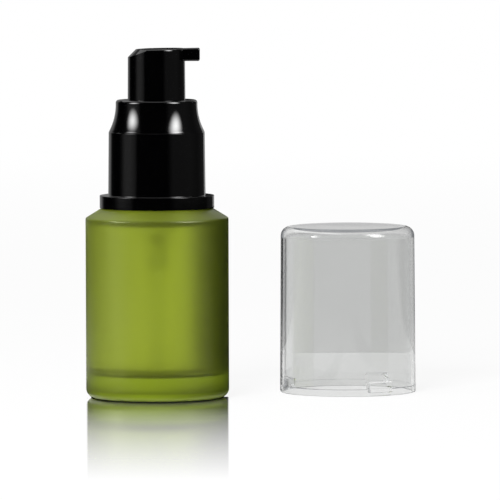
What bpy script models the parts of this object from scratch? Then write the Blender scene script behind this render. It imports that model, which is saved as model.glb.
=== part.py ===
"""Lotion pump bottle: a frosted glass bottle, its treatment pump and the clear overcap beside it.

Metres, +Z up. The origin is on the bottle's axis, at the middle of its base. The nozzle points along +X.
"""

import math

import bmesh
import bpy
from mathutils import Matrix, Vector

# Clearances
SEAT_GAP = 0.0002
SLIDE_GAP = 0.0002
SHOULDER_GAP = 0.0003
CUT_OVERRUN = 0.001

# Glass bottle
BOTTLE_RADIUS = 0.0175
BODY_HEIGHT = 0.0440
SHOULDER_SLOPE = math.tan(math.radians(31.5))
BASE_THICKNESS = 0.0057
GLASS_WALL = 0.0022
HEEL_RADIUS = 0.0022
CAVITY_HEEL_RADIUS = 0.0024
SHOULDER_EDGE_RADIUS = 0.0005
NECK_WALL = 0.00255
NECK_PUMP_CLEARANCE = 0.00095
NECK_HEIGHT = 0.0095
NECK_ROOT_RADIUS = 0.0008
LIP_RADIUS = 0.0004
THREAD_DEPTH = 0.0010

# Gasket, screw closure and lock ring
GASKET_THICKNESS = 0.0008
CLOSURE_WALL = 0.0008
CLOSURE_DECK = 0.0011
CLOSURE_FOOT_GAP = 0.0005
LOCK_RIM_WIDTH = 0.0012
LOCK_RIM_THICKNESS = 0.0009
LOCK_PLUG_LENGTH = 0.0024
GUIDE_WALL = 0.0010
GUIDE_HEIGHT = 0.0039

# Outer collar
COLLAR_WALL = 0.0009
COLLAR_DRAFT = 0.00017
COLLAR_SEAT_STEP = 0.0009
SEAT_TO_FLARE = 0.0026
FLARE_HEIGHT = 0.0068
COLLAR_LEDGE = 0.0027
COLLAR_TOP_BAND = 0.00105
COLLAR_TOP_RADIUS = 0.0010
COLLAR_DECK = 0.0011
FLANGE_WIDTH = 0.0021
FLANGE_HEIGHT = 0.0031
FLANGE_EDGE_RADIUS = 0.00025
BUTTON_GUIDE_WALL = 0.0008
BUTTON_GUIDE_LENGTH = 0.0034

# Button with its nozzle
BUTTON_RADIUS = 0.00708
BUTTON_DRAFT = 0.00012
BUTTON_WALL = 0.0010
BUTTON_TOP_WALL = 0.0014
BUTTON_STANDS = 0.01268
BUTTON_EDGE_RADIUS = 0.0005
BUTTON_FOOT_CLEARANCE = 0.0018
TOP_RAKE = math.tan(math.radians(1.3))
SCOOP_DEPTH = 0.0019
SCOOP_OFFSET = 0.0034
SOCKET_WALL = 0.0010
SOCKET_DEPTH = 0.0060
RISER_RADIUS = 0.0010
NOZZLE_REACH = 0.0106
NOZZLE_WIDTH = 0.0050
NOZZLE_HEIGHT = 0.00318
NOZZLE_EDGE_RADIUS = 0.0004
NOZZLE_SUNK = 0.00006
OUTLET_RADIUS = 0.0007

# Pump engine
STROKE = 0.0045
LOST_MOTION = 0.0005
STEM_RADIUS = 0.0021
STEM_BORE_RADIUS = 0.0012
CHAMBER_RADIUS = 0.0036
CHAMBER_LENGTH = 0.0168
HOUSING_WALL = 0.0009
HOUSING_FLANGE = 0.0009
MOUTH_STEP = 0.0008
VENT_RADIUS = 0.00035
VENT_BELOW_MOUTH = 0.0008
PISTON_HEIGHT = 0.0046
PISTON_SKIRT = 0.00065
PISTON_WAIST = 0.0003
PISTON_LIP = 0.0009
PISTON_HUB_DROP = 0.0012
PISTON_HUB_HEIGHT = 0.0019
PISTON_HUB_RADIUS = 0.0020
PISTON_BORE_RADIUS = 0.0013
PISTON_WEB = 0.0009
PLUG_NECK_RADIUS = 0.0008
PLUG_HEAD_RADIUS = 0.0022
PLUG_FLANGE_CLEARANCE = 0.0006
PLUG_FLANGE_THICKNESS = 0.0008
PLUG_BOSS_CLEARANCE = 0.000575
PLUG_BOSS_LENGTH = 0.0013
PLUG_SHANK_LENGTH = 0.0035
PLUG_RIB_WIDTH = 0.0007

# Return spring
SPRING_WIRE_RADIUS = 0.000275
SPRING_SIDE_CLEARANCE = 0.000675
SPRING_TURNS = 6
SPRING_POINTS_PER_TURN = 10
SPRING_END_PITCH = 0.00105

# Inlet valve and dip tube
BALL_RADIUS = 0.0016
BALL_LIFT = 0.0009
CAGE_CLEARANCE = 0.0006
CAGE_WALL = 0.0010
CAGE_LIP_THICKNESS = 0.0005
CAGE_LIP_RADIUS = 0.0012
CAGE_SLOT_WIDTH = 0.0009
INLET_RADIUS = 0.0009
INLET_LENGTH = 0.0008
TUBE_RADIUS = 0.0016
TUBE_WALL = 0.0005
TUBE_SOCKET_DEPTH = 0.0045
TUBE_SOCKET_WALL = 0.0008
TUBE_END_CLEARANCE = 0.0008
TUBE_END_SLOPE = math.tan(math.radians(30))

# Overcap
CAP_SIDE_ROOM = 0.00185
CAP_HEADROOM = 0.0024
CAP_DRAFT = 0.00025
CAP_WALL = 0.0009
CAP_TOP_WALL = 0.0011
CAP_CORNER_RADIUS = 0.0024
CAP_CROWN = 0.0003
CAP_RECESS_DEPTH = 0.0016
CAP_RECESS_STEP = 0.00015
CAP_MOUTH_EDGE = 0.0002
LUG_COUNT = 3
LUG_FIRST_ANGLE = math.radians(60)
LUG_ANGLE = math.radians(22)
LUG_OVERLAP = 0.0007
LUG_SEAT_HEIGHT = 0.0017
LUG_THICKNESS = 0.0013
LUG_LEG_HEIGHT = 0.0009
CAP_APART = 0.01255
CAP_SET_BACK = 0.0150

# Faceting
OUTER_SEGMENTS = 48
INNER_SEGMENTS = 32
SMALL_SEGMENTS = 24
ARC_STEPS = 3
SMOOTH_ANGLE = math.radians(35)


def cone_height(radius):
    """The height of the bottle's shoulder cone at a distance from its axis."""
    return BODY_HEIGHT + (BOTTLE_RADIUS - radius) * SHOULDER_SLOPE


# Radii that follow from the pieces inside one another
MOUTH_RADIUS = CHAMBER_RADIUS + MOUTH_STEP
BARREL_RADIUS = MOUTH_RADIUS + HOUSING_WALL
NECK_BORE_RADIUS = BARREL_RADIUS + NECK_PUMP_CLEARANCE
NECK_RADIUS = NECK_BORE_RADIUS + NECK_WALL
THREAD_CREST_RADIUS = NECK_RADIUS + THREAD_DEPTH
CLOSURE_BORE_RADIUS = THREAD_CREST_RADIUS + SEAT_GAP
CLOSURE_RADIUS = CLOSURE_BORE_RADIUS + CLOSURE_WALL
COLLAR_BORE_RADIUS = CLOSURE_RADIUS + SEAT_GAP
COLLAR_RADIUS = COLLAR_BORE_RADIUS + COLLAR_WALL
BUTTON_HOLE_RADIUS = BUTTON_RADIUS + SLIDE_GAP
FLARE_FOOT_RADIUS = COLLAR_RADIUS - COLLAR_DRAFT
FLARE_TOP_RADIUS = BUTTON_HOLE_RADIUS + COLLAR_LEDGE
FLARE_WIDTH = FLARE_FOOT_RADIUS - FLARE_TOP_RADIUS
FLANGE_RADIUS = COLLAR_RADIUS + FLANGE_WIDTH
SEAL_RADIUS = NECK_RADIUS - LIP_RADIUS
LOCK_RIM_RADIUS = MOUTH_RADIUS + LOCK_RIM_WIDTH
STEM_GUIDE_RADIUS = STEM_RADIUS + SLIDE_GAP
CAGE_RADIUS = BALL_RADIUS + CAGE_CLEARANCE
TUBE_SOCKET_RADIUS = TUBE_RADIUS + SEAT_GAP
PISTON_RADIUS = CHAMBER_RADIUS - SLIDE_GAP
PLUG_FLANGE_RADIUS = CHAMBER_RADIUS - PLUG_FLANGE_CLEARANCE
SPRING_RADIUS = CHAMBER_RADIUS - SPRING_SIDE_CLEARANCE - SPRING_WIRE_RADIUS
PLUG_BOSS_RADIUS = SPRING_RADIUS - SPRING_WIRE_RADIUS - PLUG_BOSS_CLEARANCE

# Heights that follow from the pieces stacked on one another
NECK_ROOT_Z = cone_height(NECK_RADIUS)
NECK_TOP_Z = NECK_ROOT_Z + NECK_HEIGHT
GASKET_Z = NECK_TOP_Z + SEAT_GAP
HOUSING_SEAT_Z = GASKET_Z + GASKET_THICKNESS + SEAT_GAP
HOUSING_TOP_Z = HOUSING_SEAT_Z + HOUSING_FLANGE
MOUTH_FLOOR_Z = HOUSING_TOP_Z - LOCK_PLUG_LENGTH
CHAMBER_FLOOR_Z = MOUTH_FLOOR_Z - CHAMBER_LENGTH
CLOSURE_DECK_Z = HOUSING_TOP_Z + SEAT_GAP
CLOSURE_TOP_Z = CLOSURE_DECK_Z + CLOSURE_DECK
CLOSURE_FOOT_Z = cone_height(CLOSURE_BORE_RADIUS) + CLOSURE_FOOT_GAP
COLLAR_SEAT_Z = CLOSURE_TOP_Z + SEAT_GAP
FLARE_FOOT_Z = COLLAR_SEAT_Z + SEAT_TO_FLARE
FLARE_TOP_Z = FLARE_FOOT_Z + FLARE_HEIGHT
COLLAR_TOP_Z = FLARE_TOP_Z + COLLAR_TOP_BAND
FLANGE_FOOT_Z = cone_height(FLANGE_RADIUS) + SHOULDER_GAP
FLANGE_TOP_Z = FLANGE_FOOT_Z + FLANGE_HEIGHT
LOCK_RING_Z = HOUSING_TOP_Z + SEAT_GAP
GUIDE_TOP_Z = LOCK_RING_Z + GUIDE_HEIGHT
SOCKET_FOOT_Z = GUIDE_TOP_Z + STROKE + SEAT_GAP
SOCKET_TOP_Z = SOCKET_FOOT_Z + SOCKET_DEPTH
STEM_TOP_Z = SOCKET_TOP_Z - SEAT_GAP
BUTTON_FOOT_Z = CLOSURE_TOP_Z + STROKE + BUTTON_FOOT_CLEARANCE
BUTTON_TOP_Z = COLLAR_TOP_Z + BUTTON_STANDS
PISTON_TOP_Z = MOUTH_FLOOR_Z
PISTON_FOOT_Z = PISTON_TOP_Z - PISTON_HEIGHT
PISTON_HUB_Z = PISTON_FOOT_Z + PISTON_HUB_DROP
STEM_FOOT_Z = PISTON_HUB_Z + PISTON_HUB_HEIGHT + LOST_MOTION + SEAT_GAP
PLUG_FLANGE_Z = PISTON_FOOT_Z - SEAT_GAP - PLUG_FLANGE_THICKNESS
SPRING_TOP_Z = PLUG_FLANGE_Z - SEAT_GAP
SPRING_FOOT_Z = CHAMBER_FLOOR_Z + SEAT_GAP
CAGE_TOP_Z = CHAMBER_FLOOR_Z - CAGE_LIP_THICKNESS
BALL_Z = CAGE_TOP_Z - SEAT_GAP - BALL_LIFT - BALL_RADIUS
SEAT_TOP_Z = BALL_Z + CAGE_RADIUS - math.sqrt(2) * (BALL_RADIUS + SEAT_GAP)
SEAT_FOOT_Z = SEAT_TOP_Z - (CAGE_RADIUS - INLET_RADIUS)
TUBE_SOCKET_Z = SEAT_FOOT_Z - INLET_LENGTH
TAIL_FOOT_Z = TUBE_SOCKET_Z - TUBE_SOCKET_DEPTH
TUBE_TOP_Z = TUBE_SOCKET_Z - SEAT_GAP
TUBE_FOOT_Z = BASE_THICKNESS + TUBE_END_CLEARANCE + TUBE_RADIUS * TUBE_END_SLOPE

# Overcap sizes that follow from the flange it sits on and the pump it covers
CAP_BORE_RADIUS = FLANGE_RADIUS + CAP_SIDE_ROOM
CAP_MOUTH_RADIUS = CAP_BORE_RADIUS + CAP_WALL
CAP_TOP_RADIUS = CAP_MOUTH_RADIUS - CAP_DRAFT
CAP_HEIGHT = LUG_SEAT_HEIGHT + (BUTTON_TOP_Z - FLANGE_TOP_Z) + CAP_HEADROOM + CAP_TOP_WALL
LUG_SEAT_RADIUS = FLANGE_RADIUS - LUG_OVERLAP
LUG_GRIP_RADIUS = FLANGE_RADIUS + SEAT_GAP
CAP_X = BOTTLE_RADIUS + CAP_APART + CAP_MOUTH_RADIUS


def clear_scene():
    for old in list(bpy.data.objects):
        bpy.data.objects.remove(old, do_unlink=True)


def finish_of(name, colour, roughness, metallic=0.0, transmission=0.0):
    """A Principled material of one colour."""
    made = bpy.data.materials.new(name)
    made.use_nodes = True
    shader = made.node_tree.nodes["Principled BSDF"]
    shader.inputs["Base Color"].default_value = (*colour, 1.0)
    shader.inputs["Roughness"].default_value = roughness
    shader.inputs["Metallic"].default_value = metallic
    shader.inputs["Transmission Weight"].default_value = transmission
    return made


def arc(centre, radius, start, stop, steps=ARC_STEPS):
    """Points along an arc in the (radius, height) plane, angles in degrees from +radius towards +height."""
    points = []
    for step in range(steps + 1):
        angle = math.radians(start + (stop - start) * step / steps)
        points.append((centre[0] + radius * math.cos(angle), centre[1] + radius * math.sin(angle)))
    return points


def finish(mesh_data, name, material, parent=None):
    """A closed bmesh becomes a smooth-shaded object."""
    bmesh.ops.recalc_face_normals(mesh_data, faces=mesh_data.faces)
    mesh = bpy.data.meshes.new(name)
    mesh_data.to_mesh(mesh)
    mesh_data.free()
    mesh.shade_smooth()
    mesh.set_sharp_from_angle(angle=SMOOTH_ANGLE)
    if material is not None:
        mesh.materials.append(material)
    made = bpy.data.objects.new(name, mesh)
    made.parent = parent
    bpy.context.scene.collection.objects.link(made)
    return made


def turned(profile, segments, start=0.0, sweep=None):
    """A bmesh turned from a closed (radius, height) outline, whole or as a sector with end faces."""
    made = bmesh.new()
    whole = sweep is None
    rings = segments if whole else segments + 1
    step = (math.tau if whole else sweep) / segments
    loops = []
    for radius, height in profile:
        if radius == 0:
            loops.append([made.verts.new((0, 0, height))] * rings)
            continue
        angles = [start + step * ring for ring in range(rings)]
        loops.append([made.verts.new((radius * math.cos(a), radius * math.sin(a), height)) for a in angles])
    for index, upper in enumerate(loops):
        lower = loops[(index + 1) % len(loops)]
        for side in range(segments):
            after = (side + 1) % rings
            corners = []
            for corner in (upper[side], lower[side], lower[after], upper[after]):
                if corner not in corners:
                    corners.append(corner)
            if len(corners) > 2:
                made.faces.new(corners)
    if not whole:
        made.faces.new([loop[0] for loop in loops])
        made.faces.new([loop[-1] for loop in loops])
    return made


def block(low, high):
    """A bmesh box between two corners."""
    made = bmesh.new()
    size = Vector(high) - Vector(low)
    centre = (Vector(high) + Vector(low)) / 2
    bmesh.ops.create_cube(made, size=1, matrix=Matrix.Translation(centre) @ Matrix.Diagonal((*size, 1)))
    return made


def shape_with(target, tool_data, name, operation):
    """Gives the target a Boolean with a hidden tool made from a bmesh."""
    tool = finish(tool_data, name, None, target.parent)
    tool.hide_render = True
    tool.display_type = "WIRE"
    cut = target.modifiers.new(name, "BOOLEAN")
    cut.operation = operation
    cut.solver = "EXACT"
    cut.object = tool
    return tool


def make_bottle(glass):
    """Straight round body on a thick flat base, conical shoulder and a plain screw neck."""
    cavity_radius = BOTTLE_RADIUS - GLASS_WALL
    cavity_top = BODY_HEIGHT - GLASS_WALL
    bore_foot = cavity_top + (cavity_radius - NECK_BORE_RADIUS) * SHOULDER_SLOPE
    edge = SHOULDER_EDGE_RADIUS
    root = NECK_ROOT_RADIUS
    lip = LIP_RADIUS
    profile = [(0, 0)]
    profile += arc((BOTTLE_RADIUS - HEEL_RADIUS, HEEL_RADIUS), HEEL_RADIUS, -90, 0, 4)
    profile += [
        (BOTTLE_RADIUS, BODY_HEIGHT - edge),
        (BOTTLE_RADIUS - edge, cone_height(BOTTLE_RADIUS - edge)),
        (NECK_RADIUS + root, cone_height(NECK_RADIUS + root)),
        (NECK_RADIUS, NECK_ROOT_Z + root),
    ]
    profile += arc((NECK_RADIUS - lip, NECK_TOP_Z - lip), lip, 0, 90, 2)
    profile += [
        (NECK_BORE_RADIUS + lip, NECK_TOP_Z),
        (NECK_BORE_RADIUS, NECK_TOP_Z - lip),
        (NECK_BORE_RADIUS, bore_foot),
        (cavity_radius, cavity_top),
    ]
    floor_centre = (cavity_radius - CAVITY_HEEL_RADIUS, BASE_THICKNESS + CAVITY_HEEL_RADIUS)
    profile += arc(floor_centre, CAVITY_HEEL_RADIUS, 0, -90, 4)
    profile += [(0, BASE_THICKNESS)]
    return finish(turned(profile, OUTER_SEGMENTS), "bottle", glass)


def make_gasket(foam, unit):
    """Flat sealing ring on the neck's lip."""
    top = GASKET_Z + GASKET_THICKNESS
    inner = BARREL_RADIUS + SEAT_GAP
    profile = [(SEAL_RADIUS, top), (SEAL_RADIUS, GASKET_Z), (inner, GASKET_Z), (inner, top)]
    return finish(turned(profile, INNER_SEGMENTS), "neck_gasket", foam, unit)


def make_closure(white, unit):
    """Inner screw cap: a skirt round the neck's thread and a deck that holds the housing's flange down."""
    hole = LOCK_RIM_RADIUS + SEAT_GAP
    profile = [
        (hole, CLOSURE_TOP_Z),
        (CLOSURE_RADIUS - CLOSURE_WALL / 2, CLOSURE_TOP_Z),
        (CLOSURE_RADIUS, CLOSURE_TOP_Z - CLOSURE_WALL / 2),
        (CLOSURE_RADIUS, CLOSURE_FOOT_Z),
        (CLOSURE_BORE_RADIUS, CLOSURE_FOOT_Z),
        (CLOSURE_BORE_RADIUS, CLOSURE_DECK_Z),
        (hole, CLOSURE_DECK_Z),
    ]
    return finish(turned(profile, OUTER_SEGMENTS), "screw_closure", white, unit)


def make_collar(black, unit):
    """Glossy shroud: concave flare, cylinder and flange, seated by an inner step on the closure's deck."""
    flare_radius = (FLARE_HEIGHT ** 2 + FLARE_WIDTH ** 2) / (2 * FLARE_WIDTH)
    flare_angle = math.degrees(math.asin(FLARE_HEIGHT / flare_radius))
    step_radius = COLLAR_BORE_RADIUS - COLLAR_SEAT_STEP
    neck_bore = FLARE_TOP_RADIUS - COLLAR_WALL
    guide_radius = BUTTON_HOLE_RADIUS + BUTTON_GUIDE_WALL
    rim_bore = FLANGE_RADIUS - COLLAR_WALL
    top = COLLAR_TOP_RADIUS
    edge = FLANGE_EDGE_RADIUS
    profile = arc((FLARE_TOP_RADIUS - top, COLLAR_TOP_Z - top), top, 90, 0)
    profile += arc((FLARE_TOP_RADIUS + flare_radius, FLARE_TOP_Z), flare_radius, 180, 180 + flare_angle, 7)
    profile += [(COLLAR_RADIUS, FLANGE_TOP_Z)]
    profile += arc((FLANGE_RADIUS - edge, FLANGE_TOP_Z - edge), edge, 90, 0, 2)
    profile += [
        (FLANGE_RADIUS, FLANGE_FOOT_Z),
        (rim_bore, cone_height(rim_bore) + SHOULDER_GAP),
        (rim_bore, FLANGE_TOP_Z - COLLAR_WALL),
        (COLLAR_BORE_RADIUS, FLANGE_TOP_Z - COLLAR_WALL),
        (COLLAR_BORE_RADIUS, COLLAR_SEAT_Z),
        (step_radius, COLLAR_SEAT_Z),
        (step_radius, FLARE_FOOT_Z),
        (neck_bore, FLARE_FOOT_Z + FLARE_HEIGHT / 2),
        (neck_bore, COLLAR_TOP_Z - COLLAR_DECK),
        (guide_radius, COLLAR_TOP_Z - COLLAR_DECK),
        (guide_radius, COLLAR_TOP_Z - BUTTON_GUIDE_LENGTH),
        (BUTTON_HOLE_RADIUS, COLLAR_TOP_Z - BUTTON_GUIDE_LENGTH),
        (BUTTON_HOLE_RADIUS, COLLAR_TOP_Z),
    ]
    return finish(turned(profile, OUTER_SEGMENTS), "outer_collar", black, unit)


def make_housing(natural, unit):
    """Pump cylinder: flange, mouth for the lock ring, chamber, slotted ball cage, seat and tail socket."""
    chamber_outside = CHAMBER_RADIUS + HOUSING_WALL
    cage_outside = CAGE_RADIUS + CAGE_WALL
    tail_outside = TUBE_SOCKET_RADIUS + TUBE_SOCKET_WALL
    profile = [
        (MOUTH_RADIUS, HOUSING_TOP_Z),
        (SEAL_RADIUS, HOUSING_TOP_Z),
        (SEAL_RADIUS, HOUSING_SEAT_Z),
        (BARREL_RADIUS, HOUSING_SEAT_Z),
        (BARREL_RADIUS, MOUTH_FLOOR_Z - HOUSING_WALL),
        (chamber_outside, MOUTH_FLOOR_Z - HOUSING_WALL - MOUTH_STEP),
        (chamber_outside, CHAMBER_FLOOR_Z - HOUSING_WALL),
        (cage_outside, CHAMBER_FLOOR_Z - HOUSING_WALL - (chamber_outside - cage_outside)),
        (cage_outside, SEAT_TOP_Z - CAGE_WALL),
        (tail_outside, SEAT_TOP_Z - CAGE_WALL - (cage_outside - tail_outside)),
        (tail_outside, TAIL_FOOT_Z),
        (TUBE_SOCKET_RADIUS, TAIL_FOOT_Z),
        (TUBE_SOCKET_RADIUS, TUBE_SOCKET_Z),
        (INLET_RADIUS, TUBE_SOCKET_Z),
        (INLET_RADIUS, SEAT_FOOT_Z),
        (CAGE_RADIUS, SEAT_TOP_Z),
        (CAGE_RADIUS, CAGE_TOP_Z),
        (CAGE_LIP_RADIUS, CAGE_TOP_Z),
        (CAGE_LIP_RADIUS, CHAMBER_FLOOR_Z),
        (CHAMBER_RADIUS, CHAMBER_FLOOR_Z),
        (CHAMBER_RADIUS, MOUTH_FLOOR_Z),
        (MOUTH_RADIUS, MOUTH_FLOOR_Z),
    ]
    housing = finish(turned(profile, INNER_SEGMENTS), "pump_housing", natural, unit)
    slot_reach = CAGE_RADIUS - SLIDE_GAP
    slot_foot = CAGE_TOP_Z - CAGE_LIP_THICKNESS
    slot_top = CHAMBER_FLOOR_Z + CAGE_LIP_THICKNESS
    half = CAGE_SLOT_WIDTH / 2
    long_way = block((-slot_reach, -half, slot_foot), (slot_reach, half, slot_top))
    cross_way = block((-half, -slot_reach, slot_foot), (half, slot_reach, slot_top))
    shape_with(housing, long_way, "cage_slot_x", "DIFFERENCE")
    shape_with(housing, cross_way, "cage_slot_y", "DIFFERENCE")
    vent = bmesh.new()
    vent_length = BARREL_RADIUS + CUT_OVERRUN - CHAMBER_RADIUS / 2
    vent_middle = CHAMBER_RADIUS / 2 + vent_length / 2
    vent_place = Matrix.Translation((0, vent_middle, MOUTH_FLOOR_Z - VENT_BELOW_MOUTH))
    place = vent_place @ Matrix.Rotation(math.pi / 2, 4, "X")
    bmesh.ops.create_cone(vent, cap_ends=True, segments=10, radius1=VENT_RADIUS, radius2=VENT_RADIUS,
                          depth=vent_length, matrix=place)
    shape_with(housing, vent, "vent_hole", "DIFFERENCE")
    return housing


def make_lock_ring(natural, unit):
    """Ring that plugs the housing's mouth, stops the piston and guides the stem."""
    plug_radius = MOUTH_RADIUS - SEAT_GAP
    guide_radius = STEM_GUIDE_RADIUS + GUIDE_WALL
    profile = [
        (STEM_GUIDE_RADIUS, GUIDE_TOP_Z),
        (guide_radius, GUIDE_TOP_Z),
        (guide_radius, LOCK_RING_Z + LOCK_RIM_THICKNESS),
        (LOCK_RIM_RADIUS, LOCK_RING_Z + LOCK_RIM_THICKNESS),
        (LOCK_RIM_RADIUS, LOCK_RING_Z),
        (plug_radius, LOCK_RING_Z),
        (plug_radius, MOUTH_FLOOR_Z + SEAT_GAP),
        (STEM_GUIDE_RADIUS, MOUTH_FLOOR_Z + SEAT_GAP),
    ]
    return finish(turned(profile, INNER_SEGMENTS), "lock_ring", natural, unit)


def make_stem(natural, unit):
    """Hollow rod from the piston to the button's socket."""
    edge = (STEM_RADIUS - STEM_BORE_RADIUS) / 4
    profile = [
        (STEM_BORE_RADIUS, STEM_TOP_Z),
        (STEM_RADIUS - edge, STEM_TOP_Z),
        (STEM_RADIUS, STEM_TOP_Z - edge),
        (STEM_RADIUS, STEM_FOOT_Z),
        (STEM_BORE_RADIUS, STEM_FOOT_Z),
    ]
    return finish(turned(profile, SMALL_SEGMENTS), "stem", natural, unit)


def make_stem_plug(acetal, unit):
    """Valve head under the piston, with a fluted shank up the stem's bore and a spring seat below."""
    head_top = PISTON_HUB_Z - SEAT_GAP
    flange_top = PLUG_FLANGE_Z + PLUG_FLANGE_THICKNESS
    profile = [
        (0, STEM_FOOT_Z),
        (PLUG_NECK_RADIUS, STEM_FOOT_Z),
        (PLUG_NECK_RADIUS, head_top),
        (PLUG_HEAD_RADIUS, (head_top + flange_top) / 2),
        (PLUG_HEAD_RADIUS, flange_top),
        (PLUG_FLANGE_RADIUS, flange_top),
        (PLUG_FLANGE_RADIUS, PLUG_FLANGE_Z),
        (PLUG_BOSS_RADIUS, PLUG_FLANGE_Z),
        (PLUG_BOSS_RADIUS - SLIDE_GAP, PLUG_FLANGE_Z - PLUG_BOSS_LENGTH),
        (0, PLUG_FLANGE_Z - PLUG_BOSS_LENGTH),
    ]
    plug = finish(turned(profile, SMALL_SEGMENTS), "stem_plug", acetal, unit)
    reach = STEM_BORE_RADIUS - SEAT_GAP
    half = PLUG_RIB_WIDTH / 2
    foot = STEM_FOOT_Z - PLUG_NECK_RADIUS
    top = STEM_FOOT_Z + PLUG_SHANK_LENGTH
    shape_with(plug, block((-reach, -half, foot), (reach, half, top)), "shank_rib_x", "UNION")
    shape_with(plug, block((-half, -reach, foot), (half, reach, top)), "shank_rib_y", "UNION")
    return plug


def make_piston(soft, unit):
    """Sliding seal: a hub round the plug's neck and a skirt with a lip at each end."""
    waist = PISTON_RADIUS - PISTON_WAIST
    skirt_bore = PISTON_RADIUS - PISTON_SKIRT
    web_foot = PISTON_HUB_Z + (PISTON_HUB_HEIGHT - PISTON_WEB) / 2
    web_top = web_foot + PISTON_WEB
    hub_top = PISTON_HUB_Z + PISTON_HUB_HEIGHT
    profile = [
        (PISTON_RADIUS - PISTON_WAIST / 2, PISTON_TOP_Z),
        (PISTON_RADIUS, PISTON_TOP_Z),
        (waist, PISTON_TOP_Z - PISTON_LIP),
        (waist, PISTON_FOOT_Z + PISTON_LIP),
        (PISTON_RADIUS, PISTON_FOOT_Z),
        (PISTON_RADIUS - PISTON_WAIST / 2, PISTON_FOOT_Z),
        (skirt_bore, PISTON_FOOT_Z + PISTON_LIP),
        (skirt_bore, web_foot),
        (PISTON_HUB_RADIUS, web_foot),
        (PISTON_HUB_RADIUS, PISTON_HUB_Z),
        (PISTON_BORE_RADIUS, PISTON_HUB_Z),
        (PISTON_BORE_RADIUS, hub_top),
        (PISTON_HUB_RADIUS, hub_top),
        (PISTON_HUB_RADIUS, web_top),
        (skirt_bore, web_top),
        (skirt_bore, PISTON_TOP_Z - PISTON_LIP),
    ]
    return finish(turned(profile, INNER_SEGMENTS), "piston", soft, unit)


def spring_points():
    """Centre line of the wire: end turns drawn closer, the others evenly spread."""
    foot = SPRING_FOOT_Z + SPRING_WIRE_RADIUS
    top = SPRING_TOP_Z - SPRING_WIRE_RADIUS
    middle_pitch = (top - foot - 2 * SPRING_END_PITCH) / (SPRING_TURNS - 2)
    points = []
    for step in range(SPRING_TURNS * SPRING_POINTS_PER_TURN + 1):
        turn = step / SPRING_POINTS_PER_TURN
        ends = min(turn, 1) + max(turn - (SPRING_TURNS - 1), 0)
        angle = math.tau * turn
        height = foot + ends * SPRING_END_PITCH + (turn - ends) * middle_pitch
        points.append(Vector((SPRING_RADIUS * math.cos(angle), SPRING_RADIUS * math.sin(angle), height)))
    return points


def least_spring_gap(points):
    """The least clear space between two turns of the wire, measured on its points."""
    apart = SPRING_POINTS_PER_TURN // 2
    least = min(
        (points[i] - points[j]).length
        for i in range(len(points))
        for j in range(i + apart, len(points))
    )
    return least - 2 * SPRING_WIRE_RADIUS


def make_spring(steel, unit):
    """Open coil between the chamber's floor and the plug's flange, one unbroken wire."""
    points = spring_points()
    curve = bpy.data.curves.new("return_spring", "CURVE")
    curve.dimensions = "3D"
    curve.bevel_depth = SPRING_WIRE_RADIUS
    curve.bevel_resolution = 1
    curve.use_fill_caps = True
    wire = curve.splines.new("POLY")
    wire.points.add(len(points) - 1)
    for target, point in zip(wire.points, points):
        target.co = (*point, 1)
    curve.materials.append(steel)
    spring = bpy.data.objects.new("return_spring", curve)
    spring.parent = unit
    bpy.context.scene.collection.objects.link(spring)
    print("least gap of the return spring to itself, mm:", round(least_spring_gap(points) * 1000, 3))
    return spring


def make_ball(steel, unit):
    """Inlet ball over its seat in the cage."""
    ball = bmesh.new()
    bmesh.ops.create_uvsphere(ball, u_segments=SMALL_SEGMENTS, v_segments=12, radius=BALL_RADIUS)
    made = finish(ball, "inlet_ball", steel, unit)
    made.location = (0, 0, BALL_Z)
    return made


def make_dip_tube(natural, unit):
    """Suction tube in the housing's tail, cut at a slant above the bottle's floor."""
    bore = TUBE_RADIUS - TUBE_WALL
    profile = [(TUBE_RADIUS, TUBE_TOP_Z), (TUBE_RADIUS, TUBE_FOOT_Z), (bore, TUBE_FOOT_Z), (bore, TUBE_TOP_Z)]
    tube = turned(profile, SMALL_SEGMENTS)
    for corner in tube.verts:
        if corner.co.z < (TUBE_FOOT_Z + TUBE_TOP_Z) / 2:
            corner.co.z += corner.co.x * TUBE_END_SLOPE
    return finish(tube, "dip_tube", natural, unit)


def raked(mesh_data, above):
    """Tilts everything above a height so that the button's top rises towards the nozzle's tip."""
    for corner in mesh_data.verts:
        if corner.co.z > above:
            corner.co.z += (corner.co.x - NOZZLE_REACH) * TOP_RAKE
    return mesh_data


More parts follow.
